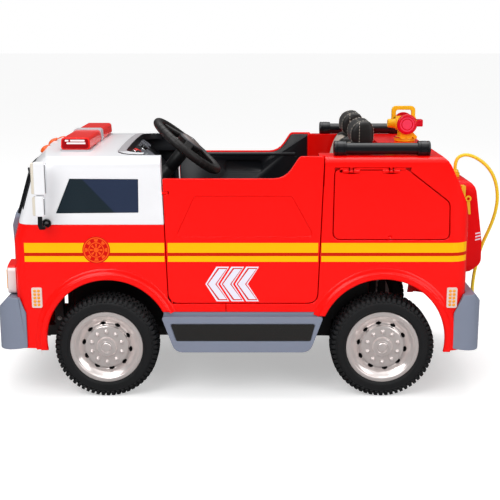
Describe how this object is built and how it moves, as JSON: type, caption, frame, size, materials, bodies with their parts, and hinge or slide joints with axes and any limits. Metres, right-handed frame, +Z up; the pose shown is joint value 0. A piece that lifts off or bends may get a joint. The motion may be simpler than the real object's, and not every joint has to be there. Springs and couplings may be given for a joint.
{
  "type": "children's ride-on fire engine",
  "caption": "Two-seat battery ride-on fire engine with opening doors and lockers, steered front wheels, light bar, deck monitor and a water tank with its hose.",
  "frame": {"origin": "on the ground, under the middle of the vehicle's box without its hose", "axes": "+X forward, +Y to the driver's (left) side, +Z up"},
  "size_m": [1.4488, 0.752, 0.776],
  "materials": {
    "red_plastic": "glossy moulded red plastic",
    "white_plastic": "glossy moulded white plastic",
    "grey_plastic": "satin blue grey plastic",
    "black_plastic": "textured black plastic",
    "black_gloss": "dark glossy window panel",
    "yellow_plastic": "glossy yellow plastic",
    "amber_lens": "amber lens",
    "red_lens": "clear red lens",
    "tyre": "black foamed tyre",
    "chrome_rim": "vacuum chromed plastic",
    "steel_black": "black painted steel",
    "steel_plain": "bare steel",
    "seat_cover": "black and beige leatherette",
    "hose_yellow": "smooth yellow hose"
  },
  "bodies": {
    "root": {"chassis": "steel_black", "floor_tub": "black_plastic", "front_shell": "red_plastic", "cab_shell": "white_plastic", "windscreen": "black_gloss", "side_windows": "black_gloss", "grille": "grey_plastic", "headlights": "red_plastic", "front_bumper": "grey_plastic", "rear_shell": "red_plastic", "rear_bumper": "grey_plastic", "side_steps": "grey_plastic", "dashboard": "black_plastic", "instrument_cowl": "grey_plastic", "steering_column": "black_plastic", "seat_base_left": "seat_cover", "seat_base_right": "seat_cover", "seat_back_left": "seat_cover", "seat_back_right": "seat_cover", "deck_rails": "black_plastic", "light_bar_base": "grey_plastic", "light_bar_lens": "red_lens", "marker_lamps": "amber_lens", "mirrors": "white_plastic", "tail_lamps": "amber_lens", "battery": "black_plastic", "drive_gearboxes": "black_plastic", "rear_axle": "steel_plain", "front_axle": "steel_black", "water_tank": "red_plastic", "tank_fittings": "yellow_plastic", "monitor_base": "yellow_plastic", "water_hose": "hose_yellow", "hose_nozzle": "yellow_plastic"},
    "steering_wheel": {"steering_wheel": "black_plastic"},
    "knuckle_left": {"knuckle_left": "steel_black"},
    "knuckle_right": {"knuckle_right": "steel_black"},
    "tie_rod": {"tie_rod": "steel_black"},
    "wheel_front_left": {"tyre_front_left": "tyre", "rim_front_left": "chrome_rim"},
    "wheel_front_right": {"tyre_front_right": "tyre", "rim_front_right": "chrome_rim"},
    "wheel_rear_left": {"tyre_rear_left": "tyre", "rim_rear_left": "chrome_rim"},
    "wheel_rear_right": {"tyre_rear_right": "tyre", "rim_rear_right": "chrome_rim"},
    "door_left": {"door_left": "red_plastic", "door_liner_left": "black_plastic"},
    "door_right": {"door_right": "red_plastic", "door_liner_right": "black_plastic"},
    "locker_lid_left": {"locker_lid_left": "red_plastic"},
    "locker_lid_right": {"locker_lid_right": "red_plastic"},
    "monitor_turret": {"monitor_turret": "yellow_plastic"},
    "monitor_nozzle": {"monitor_nozzle": "yellow_plastic"}
  },
  "joints": [
    {"name": "steering_wheel_turn", "type": "hinge", "parent": "root", "child": "steering_wheel", "pos_m": [0.155, 0.138, 0.675], "axis": [-0.6334, 0, 0.7738], "range_deg": [-60, 60]},
    {"name": "knuckle_left_steer", "type": "hinge", "parent": "root", "child": "knuckle_left", "pos_m": [0.373, 0.21, 0.142], "axis": [0, 0, 1], "range_deg": [-27, 27]},
    {"name": "knuckle_right_steer", "type": "hinge", "parent": "root", "child": "knuckle_right", "pos_m": [0.373, -0.21, 0.142], "axis": [0, 0, 1], "range_deg": [-27, 27]},
    {"name": "tie_rod_pivot", "type": "hinge", "parent": "knuckle_left", "child": "tie_rod", "pos_m": [0.313, 0.21, 0.108], "axis": [0, 0, 1], "range_deg": [-27, 27]},
    {"name": "wheel_front_left_spin", "type": "hinge", "parent": "knuckle_left", "child": "wheel_front_left", "pos_m": [0.373, 0.272, 0.142], "axis": [0, 1, 0], "continuous": true},
    {"name": "wheel_rear_left_spin", "type": "hinge", "parent": "root", "child": "wheel_rear_left", "pos_m": [-0.383, 0.272, 0.142], "axis": [0, 1, 0], "continuous": true},
    {"name": "wheel_front_right_spin", "type": "hinge", "parent": "knuckle_right", "child": "wheel_front_right", "pos_m": [0.373, -0.272, 0.142], "axis": [0, 1, 0], "continuous": true},
    {"name": "wheel_rear_right_spin", "type": "hinge", "parent": "root", "child": "wheel_rear_right", "pos_m": [-0.383, -0.272, 0.142], "axis": [0, 1, 0], "continuous": true},
    {"name": "door_left_hinge", "type": "hinge", "parent": "root", "child": "door_left", "pos_m": [0.192, 0.314, 0.3], "axis": [-0.0356, 0, -0.9994], "range_deg": [0, 65]},
    {"name": "door_right_hinge", "type": "hinge", "parent": "root", "child": "door_right", "pos_m": [0.192, -0.314, 0.3], "axis": [0.0356, 0, 0.9994], "range_deg": [0, 65]},
    {"name": "locker_lid_left_hinge", "type": "hinge", "parent": "root", "child": "locker_lid_left", "pos_m": [-0.383, 0.319, 0.629], "axis": [1, 0, 0], "range_deg": [0, 80]},
    {"name": "locker_lid_right_hinge", "type": "hinge", "parent": "root", "child": "locker_lid_right", "pos_m": [-0.383, -0.319, 0.629], "axis": [-1, 0, 0], "range_deg": [0, 80]},
    {"name": "monitor_swivel", "type": "hinge", "parent": "root", "child": "monitor_turret", "pos_m": [-0.472, 0, 0.69], "axis": [0, 0, 1], "range_deg": [-60, 60]},
    {"name": "monitor_tilt", "type": "hinge", "parent": "monitor_turret", "child": "monitor_nozzle", "pos_m": [-0.472, 0, 0.726], "axis": [0, -1, 0], "range_deg": [-8, 40]}
  ],
  "couplings": [
    {"joint": "knuckle_left_steer", "follows": "steering_wheel_turn", "ratio": 0.43333},
    {"joint": "knuckle_right_steer", "follows": "steering_wheel_turn", "ratio": 0.43333},
    {"joint": "tie_rod_pivot", "follows": "steering_wheel_turn", "ratio": -0.43333}
  ]
}
